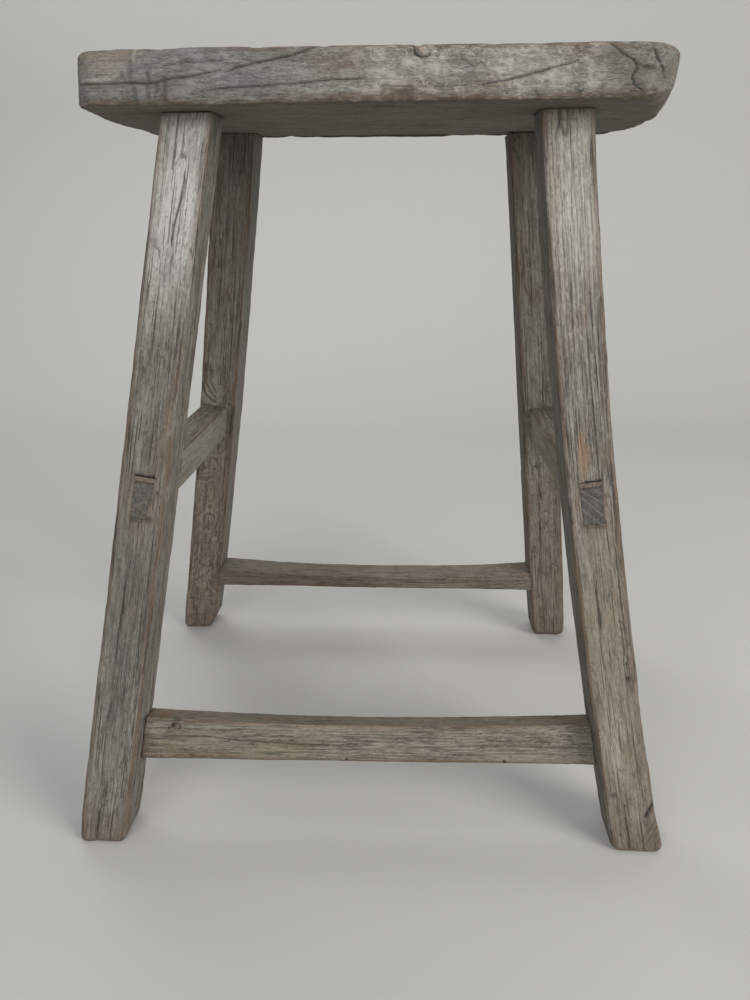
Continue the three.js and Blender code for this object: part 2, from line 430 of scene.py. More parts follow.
def edge_wear(marks, sharpness, grain, seed):
    """Edges rub back to warm brown wood, more in some places than in others."""
    uneven = 0.55 + 0.6 * noise(grain, (14, 14, 26), seed) + 0.3 * noise(grain, (4, 4, 9), seed + 1)
    worn = np.clip(sharpness * np.clip(uneven, 0, 1.2), 0, 1)
    marks.worn = np.maximum(marks.worn, worn)


def finish_piece(piece, marks, grain, node):
    """Stores the marks where the wood's material reads them, and lets the piece stand for its node."""
    part = node.split("_")[0]
    mesh = piece.data
    write_attribute(mesh, "grain", "FLOAT_VECTOR", "vector", grain * MM)
    write_attribute(mesh, "dark", "FLOAT", "value", np.clip(marks.dark, 0, 1))
    write_attribute(mesh, "worn", "FLOAT", "value", np.clip(marks.worn, 0, 1))
    write_attribute(mesh, "paint", "FLOAT_COLOR", "color", np.clip(marks.paint, 0, 1))
    mesh.materials.clear()
    mesh.materials.append(wood_for(part))
    mesh.polygons.foreach_set("material_index", np.zeros(len(mesh.polygons), np.int32))
    mesh.polygons.foreach_set("use_smooth", np.ones(len(mesh.polygons), bool))
    mesh.set_sharp_from_angle(angle=SHARP_ANGLE)
    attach(piece, "root")
    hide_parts(node)


# Materials.


def weathered_wood(name, pale, mid, deep, wear, shortness, split):
    """Old bare wood: silvered fibre, dark checks, brown worn edges, and the stains and painted light and
    shade from the piece.

    Shortness is how much shorter than a leg's its streaks are, and split how dark they get."""
    material = bpy.data.materials.get(name)
    if material:
        return material
    material = bpy.data.materials.new(name)
    material.use_nodes = True
    tree = material.node_tree
    nodes, links = tree.nodes, tree.links
    nodes.clear()

    def add(kind, **values):
        node = nodes.new(kind)
        for key, value in values.items():
            setattr(node, key, value)
        return node

    def attribute(key):
        return add("ShaderNodeAttribute", attribute_name=key)

    grain = attribute("grain").outputs["Vector"]

    def grain_noise(scale, detail, roughness, distortion=0.0):
        """Noise along the grain, with the given number of features in a metre of each axis."""
        mapping = add("ShaderNodeMapping")
        mapping.inputs["Scale"].default_value = scale
        links.new(grain, mapping.inputs["Vector"])
        texture = add("ShaderNodeTexNoise")
        values = {"Scale": 1.0, "Detail": detail, "Roughness": roughness, "Distortion": distortion}
        for key, value in values.items():
            texture.inputs[key].default_value = value
        links.new(mapping.outputs["Vector"], texture.inputs["Vector"])
        return texture.outputs["Fac"]

    def ramp(value, stops):
        node = add("ShaderNodeValToRGB")
        for place, _ in stops[2:]:
            node.color_ramp.elements.new(place)
        for element, (place, colour) in zip(node.color_ramp.elements, stops):
            element.position = place
            element.color = (*colour, 1)
        links.new(value, node.inputs["Fac"])
        return node.outputs["Color"]

    def above(value, low, high):
        """Black below low and white above high."""
        return ramp(value, ((low, (0, 0, 0)), (high, (1, 1, 1))))

    def below(value, low, high):
        """White below low and black above high."""
        return ramp(value, ((low, (1, 1, 1)), (high, (0, 0, 0))))

    def feed(sockets, values):
        for socket, value in zip(sockets, values):
            if isinstance(value, (int, float)):
                socket.default_value = value
            elif isinstance(value, tuple):
                socket.default_value = (*value, 1)
            else:
                links.new(value, socket)

    def math_node(operation, first, second):
        node = add("ShaderNodeMath", operation=operation, use_clamp=True)
        feed(node.inputs, (first, second))
        return node.outputs["Value"]

    def mix(factor, first, second):
        node = add("ShaderNodeMix", data_type="RGBA")
        feed((node.inputs[0], node.inputs[6], node.inputs[7]), (factor, first, second))
        return node.outputs[2]

    def lay(under, amount, strength, colour):
        """Lays a colour over another, as strongly as the amount and strength say."""
        return mix(math_node("MULTIPLY", amount, strength), under, colour)

    grey = tuple(0.5 * a + 0.5 * b for a, b in zip(pale, mid))
    fibre = grain_noise((640, 640, 24 * shortness), 5, 0.62, 0.4)
    strand = grain_noise((1500, 1500, 90 * shortness), 3, 0.6)
    cloud = grain_noise((42, 42, 13), 4, 0.6, 0.8)
    blotch = grain_noise((110, 110, 60), 5, 0.65)
    base = ramp(fibre, ((0.37, deep), (0.47, mid), (0.54, grey), (0.65, pale)))
    base = mix(0.5, base, ramp(strand, ((0.38, deep), (0.5, mid), (0.62, pale))))
    flake = grain_noise((1100, 1100, 260), 3, 0.6)
    base = lay(base, above(flake, 0.56, 0.66), 0.45, tuple(min(1, c * 1.25) for c in pale))
    base = lay(base, above(blotch, 0.46, 0.64), 0.42, pale)
    base = lay(base, above(cloud, 0.48, 0.68), 0.5, wear)

    worn = attribute("worn").outputs["Fac"]
    worn_colour = mix(fibre, tuple(c * 0.62 for c in wear), tuple(min(1, c * 1.45) for c in wear))
    base = lay(base, worn, 0.85, worn_colour)

    paint = attribute("paint")
    stained = lay(paint.outputs["Color"], fibre, 0.5, base)
    base = mix(paint.outputs["Alpha"], base, stained)

    dark = attribute("dark").outputs["Fac"]
    speck = grain_noise((2100, 2100, 420), 2, 0.5)
    pores = math_node("MULTIPLY", below(speck, 0.34, 0.44), 0.5)
    fissure = grain_noise((860, 860, 17 * shortness), 2, 0.55, 0.3)
    fissures = math_node("MULTIPLY", below(fissure, 0.36, 0.43), split)
    pores = math_node("MAXIMUM", pores, fissures)
    base = lay(base, math_node("MAXIMUM", dark, pores), 0.9, DARK_CRACK_AND_SHADE)

    shader = add("ShaderNodeBsdfPrincipled")
    shader.inputs["Specular IOR Level"].default_value = 0.28
    links.new(base, shader.inputs["Base Color"])
    rough = ramp(cloud, ((0.3, (0.72, 0.72, 0.72)), (0.7, (0.9, 0.9, 0.9))))
    links.new(rough, shader.inputs["Roughness"])
    height = math_node("ADD", math_node("MULTIPLY", fibre, 0.7), math_node("MULTIPLY", strand, 0.3))
    height = math_node("SUBTRACT", height, math_node("MULTIPLY", pores, 0.4))
    bump = add("ShaderNodeBump")
    bump.inputs["Strength"].default_value = 0.7
    bump.inputs["Distance"].default_value = 0.0006
    links.new(height, bump.inputs["Height"])
    links.new(bump.outputs["Normal"], shader.inputs["Normal"])
    output = add("ShaderNodeOutputMaterial")
    links.new(shader.outputs["BSDF"], output.inputs["Surface"])
    return material


# Where the pieces are.


def level_section(node, level, reach):
    """The middle and the size in plan of a CAD node near one height, in millimetres."""
    points = points_of(NODES[node].data) / MM
    near = points[np.abs(points[:, 2] - level) < reach, :2]
    if not len(near):
        raise RuntimeError(node + " has no corners near " + str(level))
    low, high = near.min(axis=0), near.max(axis=0)
    return (low + high) / 2, high - low


class LegLine:
    """A leg's centre line, from its foot to its head, with its bow."""

    def __init__(self, node, head_level):
        self.head_level = head_level
        self.foot, self.size = level_section(node, 0, 0.1)
        self.head, _ = level_section(node, head_level - 0.3, 0.1)
        middle, _ = level_section(node, (head_level - 0.3) / 2, 0.2)
        self.bow = middle - (self.foot + self.head) / 2

    def centre(self, height):
        part = np.asarray(height, float) / self.head_level
        straight = self.foot + part[..., None] * (self.head - self.foot)
        curve = np.stack([4 * self.bow[0] * part * (1 - part), np.zeros_like(part)], axis=-1)
        return straight + curve


SEAT_LOW, SEAT_HIGH = (np.array(corner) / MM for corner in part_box("seat"))
LINES = {node: LegLine(node, SEAT_LOW[2]) for node in LEGS}


# The seat.

# Cracks are rows of line, width, depth and darkness. Stains are rows of centre, size, colour,
# strength, seed, hollow and softness of edge. On the front they are placed by x and by the
# depth below the top.
RIGHT_BRANCH = [(142, 1.5), (149, 6.6), (156, 10.2), (157.5, 13.7), (155, 18.2), (157, 22.8), (162.5, 26)]
SEAT_FRONT_CRACKS = (
    ([(-21, 0), (-32, 3.3), (-48, 7), (-56, 8), (-67, 10), (-76, 12.6)], 1.15, 1.6, 1.0),
    ([(11, 17.2), (-13, 17.5), (-39, 19.7), (-57, 20.5), (-80, 21.5), (-93, 23)], 0.9, 1.4, 0.95),
    ([(-165, 18), (-148, 18.3), (-120, 18), (-110, 16), (-98, 15), (-86, 13), (-79, 11.3)], 1.0, 1.5, 0.95),
    ([(-114, 9.3), (-97, 7.4), (-78, 7.2)], 0.75, 0.9, 0.7),
    ([(-163, 6.5), (-149, 6), (-140, 6.5)], 0.65, 0.7, 0.5),
    ([(13, 21.4), (47, 22), (72, 21.7)], 0.7, 0.8, 0.55),
    ([(72, 21.7), (92, 17.9), (104, 15), (117, 11.6), (125, 9.5)], 1.0, 1.5, 1.0),
    ([(100, 10), (112, 8), (131, 9), (146, 8)], 0.55, 0.5, 0.4),
    (RIGHT_BRANCH, 1.0, 1.5, 0.95),
    ([(156, 11), (161, 13.2), (168, 14.6)], 0.75, 0.9, 0.7),
    ([(165, 1.5), (168.6, 8.9), (173.5, 14.5), (174.5, 19)], 1.05, 1.5, 1.0),
    ([(150, 23.5), (157, 22.4), (164, 24)], 0.75, 1.0, 0.75),
    ([(178, 24.5), (166, 29), (152, 29.5)], 0.8, 0.9, 0.7),
    ([(60, 8), (66, 12), (71, 10), (74, 14)], 0.7, 0.8, 0.6),
    ([(-94, 3), (-76, 2), (-56, 1.6)], 0.65, 0.6, 0.45),
)
WATER_MARKS = (
    [(-132, 6), (-133, 15)],
    [(-137, 12), (-138, 15)],
    [(-122.5, 12), (-123, 27)],
    [(-131, 20), (-131, 29)],
    [(-112.5, 15), (-113, 27)],
    [(-117, 18), (-119, 26)],
)
COOL_PATCHES = ((-128, 20, 10), (-60, 60, 11), (60, 22, 13), (95, 9, 20), (168, 22, 14))
SEAT_FRONT_TONES = (
    ((164, 14), (32, 20), (0.070, 0.067, 0.059), 0.70, 459, 0, 0.9),
    ((20, 12), (40, 11), PALE_FIBRE, 0.45, 460, 0, 0.9),
    ((100, 12), (38, 12), (0.36, 0.325, 0.28), 0.45, 461, 0, 0.9),
    ((126, 18), (7, 9), DULL_BROWN, 0.6, 462, 0.2, 0.9),
    ((0, 8), (13, 8), DULL_BROWN, 0.5, 457, 0.2, 0.9),
)
FLAKE_LIP = [(-163, 16), (-151, 16.2), (-142, 14.6), (-134, 11), (-130.3, 6), (-129, 1)]
CURL = [(33.8, 0), (32.6, 2.4), (33.2, 5.2), (36.5, 6.9), (40, 6.3), (41.6, 4.6)]
SEAT_TOP_CRACKS = (
    ([(-163, -30), (-120, -27), (-70, -31), (-20, -28)], 3.0, 2.4, 1.0),
    ([(182, 20), (140, 24), (95, 22), (60, 25)], 3.2, 2.6, 1.0),
    ([(-158, 48), (-128, 50), (-108, 49)], 2.8, 2.0, 1.0),
    ([(40, -66), (80, -64), (120, -67), (150, -66)], 2.6, 1.6, 1.0),
)
# Chips in the top front edge: where along it, how wide and how deep.
EDGE_CHIPS = ((35, 3.0, 0.7), (-19, 3.0, 0.5), (-58, 4.5, 0.4), (78, 9, 0.3), (-110, 12, 0.3), (102, 6, 0.3))


def seat_plan(across, along, corners, bows):
    """Carries a square from -1 to 1 on to the plank's plan: four corners and two bowed ends."""
    front_left, front_right, rear_right, rear_left = (np.array(corner) for corner in corners)
    s, t = (across + 1) / 2, (along + 1) / 2
    front = front_left + s[:, None] * (front_right - front_left)
    rear = rear_left + s[:, None] * (rear_right - rear_left)
    plan = front + t[:, None] * (rear - front)
    swell = 4 * t * (1 - t)
    plan[:, 0] += swell * (bows[1] * rise(s, 0.6, 1.0) - bows[0] * fall(s, 0.0, 0.4))
    return plan


def front_history(marks, points):
    """The marks on the seat's front."""
    x, y, below = points[:, 0], points[:, 1], SEAT_HIGH[2] - points[:, 2]
    front = marks.face(1, -1)
    face = Side(marks, front, x, below)
    face.cracks(SEAT_FRONT_CRACKS, 320, 5)
    # A flake at the left has come away and left paler wood inside a curved lip.
    face.patch((-145, 4), (22, 12), (0.34, 0.27, 0.19), 0.7, 410, 0.4, 0.4)
    face.streak(FLAKE_LIP, 1.5, (0.48, 0.43, 0.35), 0.85, 412)
    face.streak([(-131, 8), (-118, 9), (-96, 4), (-84, 3)], 1.2, (0.33, 0.28, 0.22), 0.4, 414)
    # Dark water marks stand across the grain over the left leg.
    face.cracks([(line, 3.6, 0.2, 0.62) for line in WATER_MARKS], 420, 3)
    for centre, wide, tall in COOL_PATCHES:
        face.patch((centre, 15), (wide, tall), COOL_GREY, 0.30, 440 + centre, 0, 0.9)
    left = front * fall(x, -70, 0)
    marks.tint((0.116, 0.121, 0.127), left * (0.44 + 0.25 * noise(points, (18, 9, 7), 458)))
    # The middle of the front is the warmest and the palest.
    face.patches(SEAT_FRONT_TONES)
    curly = noise(points, (7, 6, 4.5), 463) + 0.6 * noise(points, (3, 3, 2.2), 464)
    right_part = front * rise(x, -30, 20) * (1 - 0.8 * rise(x, 126, 148))
    marks.tint((0.50, 0.47, 0.41), right_part * rise(curly, 0.0, 0.7) * 0.5)
    marks.tint((0.10, 0.088, 0.074), right_part * rise(-curly, 0.3, 0.95) * 0.5)
    marks.relief += right_part * 0.16 * curly
    marks.tint((0.30, 0.30, 0.30), front * fall(x, -70, -10) * rise(curly, 0.2, 0.9) * 0.45)
    vein = 1 - np.abs(noise(points, (8, 8, 5), 465) + 0.5 * noise(points, (3, 3, 2.4), 466))
    marks.tint((0.46, 0.43, 0.375), right_part * rise(vein, 0.86, 0.99) * 0.6)
    furrow = 1 - np.abs(noise(points, (7, 7, 6), 467) + 0.5 * noise(points, (2.6, 2.6, 2.2), 468))
    furrow = right_part * rise(furrow, 0.91, 0.985) * rise(noise(points, (16, 16, 9), 469), -0.3, 0.2)
    marks.relief -= 0.25 * furrow
    marks.darken(furrow * 0.6)
    # A lifted curl of grain at the top, with a dark pit below it at the hem.
    face.crack(CURL, 1.35, 1.6, 470, 1.0)
    face.patch((37, 2.6), (2.6, 2.4), (0.42, 0.36, 0.28), 0.8, 472, -0.4, 0.5)
    face.patch((27, 26), (11, 5.5), (0.065, 0.044, 0.030), 0.9, 474, 0.5, 0.8)
    face.knot((164.4, 13.8), (3.6, 1.5), 475)
    face.patch((158, 18), (9, 8), (0.11, 0.10, 0.09), 0.5, 476, 0.3, 0.8)
    # The lower edge is ragged and brown.
    hem = rise(below, 23.0, 28.5) * fall(y, -104, -97)
    ragged = 0.7 + 0.6 * noise(points, (5, 5, 3), 480)
    marks.tint((0.080, 0.052, 0.032), hem * np.clip(ragged, 0, 1))
    marks.relief -= hem * (0.3 + 1.4 * np.abs(noise(points, (6, 6, 3), 481)))


def seat_marks(points, facing):
    """The seat's own history."""
    marks = Marks(points, facing)
    grain = np.stack([points[:, 1], points[:, 2] * 1.15, points[:, 0]], axis=1)
    weather(marks, grain, SEAT_SEED, 1.1, 0.5)
    front_history(marks, points)
    x, y, below = points[:, 0], points[:, 1], SEAT_HIGH[2] - points[:, 2]
    # The underside is dark and dusty, and painted darker still as shade under the plank.
    under = marks.face(2, -1)
    marks.tint((0.105, 0.083, 0.057), under * (0.75 + 0.15 * noise(points, (30, 12, 5), 482)))
    underside = Side(marks, under, x, y)
    underside.crack([(-150, -72), (-122, -70), (-108, -69)], 1.3, 1.2, 484)
    underside.patch((14, -92), (22, 4), SOOT, 0.8, 486, 0.4, 0.6)
    underside.patch((-20, -60), (60, 8), SOOT, 0.3, 487, 0, 0.9)
    # The top is worn smooth where people have sat, greyer round the outside.
    top = marks.face(2, 1)
    lip = rise(-below, -2.5, -0.5) * fall(y, -106, -96)
    for centre, wide, deep in EDGE_CHIPS:
        marks.relief -= deep * lip * fall(np.abs(x - centre), wide * 0.4, wide)
    sat = top * fall(np.hypot((x - 12) / 120, (y + 5) / 75), 0.5, 1.15)
    marks.relief -= 0.9 * sat
    marks.tint((0.235, 0.185, 0.135), sat * 0.55)
    topside = Side(marks, top, x, y)
    topside.cracks(SEAT_TOP_CRACKS, 500, 5)
    topside.knot((60, 52), (17, 10), 530)
    ends = np.maximum(marks.face(0, 1), marks.face(0, -1))
    rings = 0.5 + 0.5 * np.sin(points[:, 2] * 2.4 + 5 * noise(points, (30, 30, 12), 540))
    marks.darken(ends * rings * 0.35)
    rear = marks.face(1, 1)
    marks.tint((0.15, 0.125, 0.10), rear * 0.35)
    marks.tint(BROWN_ROT, rear * rise(below, 25, 30) * 0.6)
    return marks, grain


# Grid cells along x, y and z.
SEAT_CELLS = (336, 78, 46)


def build_seat(settings):
    """The plank: its grid is carried to the plan, worn, and holed for the legs."""
    thickness = SEAT_HIGH[2] - SEAT_LOW[2]
    piece = new_piece("seat_plank", grid_box((-1, -1, 0), (1, 1, thickness), SEAT_CELLS))
    points = points_of(piece.data)
    # Cells are finer along the front and rear, where the edges are.
    points[:, 1] = points[:, 1] * (1.28 - 0.28 * points[:, 1] ** 2)
    points[:, 0] = points[:, 0] * (1.04 - 0.04 * points[:, 0] ** 2)
    half = (SEAT_HIGH - SEAT_LOW)[:2] / 2
    local = points * np.array([half[0], half[1], 1.0])
    lump = noise(local, (22, 22, 9), 201)
    edge = np.clip(2.6 + 1.2 * lump + 0.8 * noise(local, (6, 6, 5), 202), 1.2, 5)
    right = rise(local[:, 0], 0, half[0])
    behind = rise(local[:, 1], -20, 20)
    corner = 11 + 11 * right * (1 - behind) + 7 * behind
    # The right front corner is rounder, most of all at the bottom.
    near = fall(np.hypot(local[:, 0] - half[0], (local[:, 1] + half[1]) * 0.7), 8, 52)
    edge = edge + near * np.where(local[:, 2] < thickness / 2, 9.0, 5.0)
    left_end = fall(np.hypot(local[:, 0] + half[0], (local[:, 1] + half[1]) * 0.7), 4, 26)
    edge = edge + left_end * np.where(local[:, 2] > thickness / 2, 2.5, 0.5)
    mapped = soften_plank(local, half, thickness, corner, np.minimum(edge, corner))
    plan = seat_plan(mapped[:, 0] / half[0], mapped[:, 1] / half[1], settings.corners(), settings.bows())
    # The left end reaches further at the bottom. The right one is worn back at the front, and
    # more so at the bottom, where it has been knocked.
    depth = 1 - mapped[:, 2] / thickness
    x, y = plan[:, 0], plan[:, 1]
    x -= 2.2 * depth * fall(x, -165, -110)
    x -= 2.6 * rise(x, 110, 185) * fall(y, -112, -50)
    x -= 5.5 * np.clip(depth, 0, 1) ** 1.8 * rise(x, 120, 185) * fall(np.abs(y + 66), 12, 60)
    place = np.column_stack([plan, mapped[:, 2] + SEAT_LOW[2]])
    set_points(piece.data, place)
    facing = normals_of(piece.data)
    marks, _ = seat_marks(place, facing)
    # The underside lifts towards the rear, where the plank is thinner.
    lift = marks.face(2, -1) * rise(place[:, 1], 55, 95) * 2.2
    worn = place + facing * marks.relief[:, None]
    worn[:, 2] += lift
    set_points(piece.data, worn * MM)
    wedges = ["wedge_seat_" + node[4:] for node in LEGS]
    cut_away(piece, ((LEGS, SEAT_HOLE_GAP), (wedges, SEAT_HOLE_WEDGE_GAP)))
    place = points_of(piece.data) / MM
    marks, grain = seat_marks(place, normals_of(piece.data))
    edge_wear(marks, edge_sharpness(piece.data), grain, 590)
    finish_piece(piece, marks, grain, "seat")


def edge_sharpness(mesh):
    """How strongly the surface turns outwards at each corner of the mesh, 0 to 1."""
    points, normals = points_of(mesh) / MM, normals_of(mesh)
    count = len(mesh.edges)
    pairs = np.empty(count * 2, np.int32)
    mesh.edges.foreach_get("vertices", pairs)
    pairs = pairs.reshape(-1, 2)
    step = points[pairs[:, 1]] - points[pairs[:, 0]]
    length = np.maximum(np.linalg.norm(step, axis=1), 0.05)
    turn = ((normals[pairs[:, 1]] - normals[pairs[:, 0]]) * step).sum(axis=1) / length ** 2
    total = np.zeros(len(points))
    for end in (0, 1):
        np.add.at(total, pairs[:, end], turn)
    for _ in range(3):
        spread = np.zeros(len(points))
        number = np.zeros(len(points))
        for near, far in ((0, 1), (1, 0)):
            np.add.at(spread, pairs[:, near], total[pairs[:, far]])
            np.add.at(number, pairs[:, near], 1)
        total = 0.4 * total + 0.6 * spread / np.maximum(number, 1)
    return rise(total, 0.12, 0.75)


# The legs.

# Cracks, stains and painted light on the legs' fronts, placed by x across the leg and by height. The pale
# pools high on the front legs are painted light.
LEG_CRACKS = {
    "leg_front_left": (
        ([(-4.3, 470), (-4.4, 455), (-4.9, 436)], 1.0, 1.0, 610, 0.95),
        ([(3.8, 434), (2.5, 415), (0.8, 403), (0.3, 390)], 1.25, 1.5, 615, 1.0),
        ([(-9, 462), (-10, 430), (-9.5, 400)], 0.6, 0.6, 618, 0.6),
        ([(-12, 391.5), (-6.5, 388), (-6.2, 383)], 0.9, 0.9, 624, 0.7),
        ([(-6.6, 248.6), (0, 247.8), (7.8, 246.4)], 1.8, 1.4, 637, 1.0),
    ),
    "leg_front_right": (
        ([(-15, 464), (0, 463.5), (15, 464.5)], 0.7, 0.5, 670, 0.55),
        ([(-4.5, 245.4), (1, 246), (6.8, 247.4)], 1.5, 1.3, 669, 1.0),
        ([(19, 40), (14, 32), (8.5, 25)], 2.6, 2.0, 680, 1.0),
    ),
    "leg_rear_left": (),
    "leg_rear_right": (([(-4, 137), (-4.6, 120), (-5.2, 101)], 1.0, 1.2, 730, 1.0),),
}
LEG_STAINS_AND_PAINTED_LIGHT = {
    "leg_front_left": (
        ((-2.4, 387), (3.6, 4.6), DEEP_BROWN, 0.9, 620, 0.8, 0.5),
        # Painted light: a pale pool high on the front.
        ((2, 418), (26, 88), (0.62, 0.62, 0.60), 0.78, 628, 0, 0.9),
        # The front is darker over its lower part.
        ((-2, 175), (26, 180), (0.078, 0.069, 0.064), 0.72, 629, 0, 0.9),
        ((0, 318), (26, 36), (0.075, 0.068, 0.060), 0.35, 627, 0, 0.9),
        ((0, 232), (17, 34), (0.17, 0.125, 0.09), 0.55, 630, 0, 0.9),
        ((11, 285), (4.5, 30), WARM_WEAR, 0.7, 632, 0.2, 0.8),
        ((-2, 75), (12, 36), (0.26, 0.245, 0.22), 0.3, 634, 0, 0.9),
        ((2, 108), (7, 4), DEEP_BROWN, 0.55, 636, 0.3, 0.8),
        ((10, 237), (1.5, 2), SOOT, 0.8, 639, 0.5, 0.6),
        ((10.5, 219), (2.6, 5), (0.15, 0.10, 0.07), 0.7, 609, 0.4, 0.6),
    ),
    "leg_front_right": (
        # Painted light: a pale pool high on the front.
        ((1, 412), (24, 92), (0.60, 0.57, 0.50), 0.64, 672, 0, 0.9),
        ((0, 466), (30, 7), (0.33, 0.29, 0.24), 0.5, 671, 0, 0.9),
        ((-4, 262), (4.5, 18), (0.26, 0.145, 0.075), 0.75, 674, 0.2, 0.7),
        ((0, 212), (16, 46), (0.20, 0.145, 0.10), 0.5, 676, 0, 0.9),
        ((-4, 75), (8, 36), (0.44, 0.40, 0.33), 0.4, 678, 0, 0.9),
        ((8.2, 21), (1.6, 2), SOOT, 0.9, 700, 0.6, 0.5),
        ((0.5, 38), (1.5, 2), SOOT, 0.8, 702, 0.4, 0.5),
    ),
    "leg_rear_left": (
        ((-14, 186), (4.5, 13), SOOT, 0.95, 714, 2.0, 0.5),
        ((-10, 42), (3.5, 12), SOOT, 0.7, 716, 0.8, 0.7),
        ((-3, 12), (8, 5), SOOT, 0.55, 718, 0.4, 0.8),
    ),
    "leg_rear_right": (),
}
# Heights of the short checks that cross the rear right leg's grain.
CROSS_CHECKS = (405, 352, 330, 262, 249, 238, 222, 209, 191, 174, 160, 143, 121, 99, 85)


def right_front_lines():
    """The fine drying cracks high on the front right leg, and the creases of its foot."""
    fine = []
    for number, across in enumerate((-11, -7.5, -4.5, -1, 1.5, 4.5, 7.5, 10.5, 13)):
        top, bottom = 452 - 9 * (number % 4), 300 - 37 * (number % 3)
        line = [(across, top), (across + 0.8, 400), (across - 0.5, 350), (across + 0.4, bottom)]
        fine.append((line, 0.62, 0.6, 0.6))
    creases = []
    for number, across in enumerate((3.5, 6.5, 9.5, 12.5)):
        line = [
            (18.5, 28 - 5.2 * number),
            (12 + 0.7 * number, 19 - 4 * number),
            (across, 8 - 1.7 * number),
        ]
        creases.append((line, 1.0 + 0.3 * (number % 2), 0.9, 0.65))
    return fine, creases


def scar_and_figure(marks, face, grain):
    """The rear left leg's knot scar, the lines round it, the curly grain below it and the painted light on
    its inner face.
    """
    scar = face.patch((-6, 264), (12, 19), (0.27, 0.24, 0.20), 0.55, 710, 0.9, 0.5)
    marks.relief += 0.5 * scar * noise(marks.points, (3, 3, 5), 712)
    for number, shift in enumerate((0, 4, 8)):
        line = [(shift - 17, 288), (shift - 16.5, 272), (shift * 0.7 - 11, 258 + shift), (-2, 252 + shift)]
        face.crack(line, 1.7 - 0.3 * number, 1.2, 724 + 2 * number, 1.0 - 0.25 * number)
    face.patches(LEG_STAINS_AND_PAINTED_LIGHT["leg_rear_left"])
    swirl = noise(grain, (17, 17, 11), 720) + 0.3 * noise(grain, (6, 6, 5), 721)
    ripple = np.sin(swirl * 12)
    low = face.mask * fall(grain[:, 2], 190, 262) * (0.85 + 0.35 * noise(grain, (6, 6, 9), 722))
    marks.tint((0.20, 0.15, 0.105), low * 0.4)
    marks.relief += low * (0.26 * ripple - 0.1)
    marks.darken(low * rise(-ripple, 0.5, 1.0) * 0.55)
    marks.tint(PALE_FIBRE, low * rise(ripple, 0.1, 1.0) * 0.5)
    # Painted light: the inner face, turned to the light, is paler.
    marks.tint((0.30, 0.29, 0.265), marks.face(0, 1) * 0.4)


def leg_history(node, marks, local):
    """Marks that belong to one leg: x is across its front, z is its height, in millimetres."""
    x, z = local[:, 0], local[:, 2]
    face = Side(marks, marks.face(1, -1), x, z)
    for row in LEG_CRACKS[node]:
        face.crack(*row)
    if node == "leg_front_right":
        marks.tint((0.24, 0.185, 0.125), face.mask * fall(z, 150, 260) * 0.45)
        fine, creases = right_front_lines()
        face.cracks(fine, 640, 3)
        face.cracks(creases, 683, 3)
    elif node == "leg_rear_right":
        for number, height in enumerate(CROSS_CHECKS):
            across = 9 * math.sin(number * 2.3)
            line = [(across - 5, height), (across, height + 2), (across + 5, height - 1)]
            face.crack(line, 0.9, 0.6, 734 + 3 * number, 0.75)
    if node == "leg_rear_left":
        scar_and_figure(marks, face, local)
    else:
        face.patches(LEG_STAINS_AND_PAINTED_LIGHT[node])
    if node == "leg_front_right":
        Side(marks, marks.face(0, 1), local[:, 1], z).patch((-8, 85), (14, 28), COOL_GREY, 0.3, 704, 2.4, 0.9)


def tenon_ends(node, marks, local):
    """Darkens the ends of the tenons that come through a leg, by the CAD stretchers' own places."""
    end = -1 if "front" in node else 1
    points = points_of(NODES["stretcher_" + node.split("_")[2]].data) / MM
    tip = points[points[:, 1] * end > (points[:, 1] * end).max() - 0.6]
    low, high = tip.min(axis=0)[[0, 2], None], tip.max(axis=0)[[0, 2], None]
    height = local[:, 2]
    place = np.stack([LINES[node].centre(height)[:, 0] + local[:, 0], height])
    around = np.hypot(*np.maximum(np.maximum(low - place, place - high), 0))
    face = marks.face(1, end)
    marks.tint((0.12, 0.085, 0.06), face * fall(around, 0.5, 5) * 0.6)
    marks.darken(face * fall(around, 0.2, 1.4) * 0.6)


def leg_marks(node, local, facing):
    """The rear legs are painted darker, and the right legs' inner faces and all the legs' tops carry painted
    shade; edges are brown and feet are dirty. Each leg has its own history.
    """
    marks = Marks(local, facing)
    seed = LEG_SEED + 100 * LEGS.index(node)
    height = local[:, 2]
    weather(marks, local, seed)
    if "rear" in node:
        # Painted shade: the rear legs are darker, most of all towards their tops under the seat.
        marks.tint((0.066, 0.056, 0.043), 0.30 + rise(height, 150, 430) * 0.45)
        marks.tint((0.19, 0.132, 0.086), fall(height, 90, 260) * 0.42)
    if "right" in node:
        # Painted shade on the right legs' inner faces, which are turned away from the light.
        marks.tint((0.055, 0.044, 0.031), marks.face(0, -1) * 0.45)
    leg_history(node, marks, local)
    half_width = LINES[node].size[0] / 2
    near_edge = np.abs(local[:, 0]) + 2.2 * noise(local, (5, 5, 24), seed + 71)
    band = rise(near_edge, half_width - 6, half_width - 1)
    band = band * (0.65 + 0.5 * noise(local, (9, 9, 40), seed + 72))
    marks.tint((0.098, 0.066, 0.044), band * np.maximum(marks.face(1, -1), marks.face(1, 1)) * 0.75)
    tenon_ends(node, marks, local)
    foot = fall(height + 8 * noise(local, (9, 9, 12), seed + 73), 2, 48)
    marks.tint((0.125, 0.092, 0.064), foot * 0.6)
    # Painted shade on each leg's top, just under the seat.
    marks.tint((0.12, 0.10, 0.085), rise(height, SEAT_LOW[2] - 12, SEAT_LOW[2]) * 0.5)
    return marks


# How round each foot's lower edges are worn, and a leg's grid cells across, deep and up.
FOOT_ROUND = {"leg_front_left": 5.5, "leg_front_right": 5.0, "leg_rear_left": 6.0, "leg_rear_right": 6.5}
LEG_CELLS = (56, 60, 370)


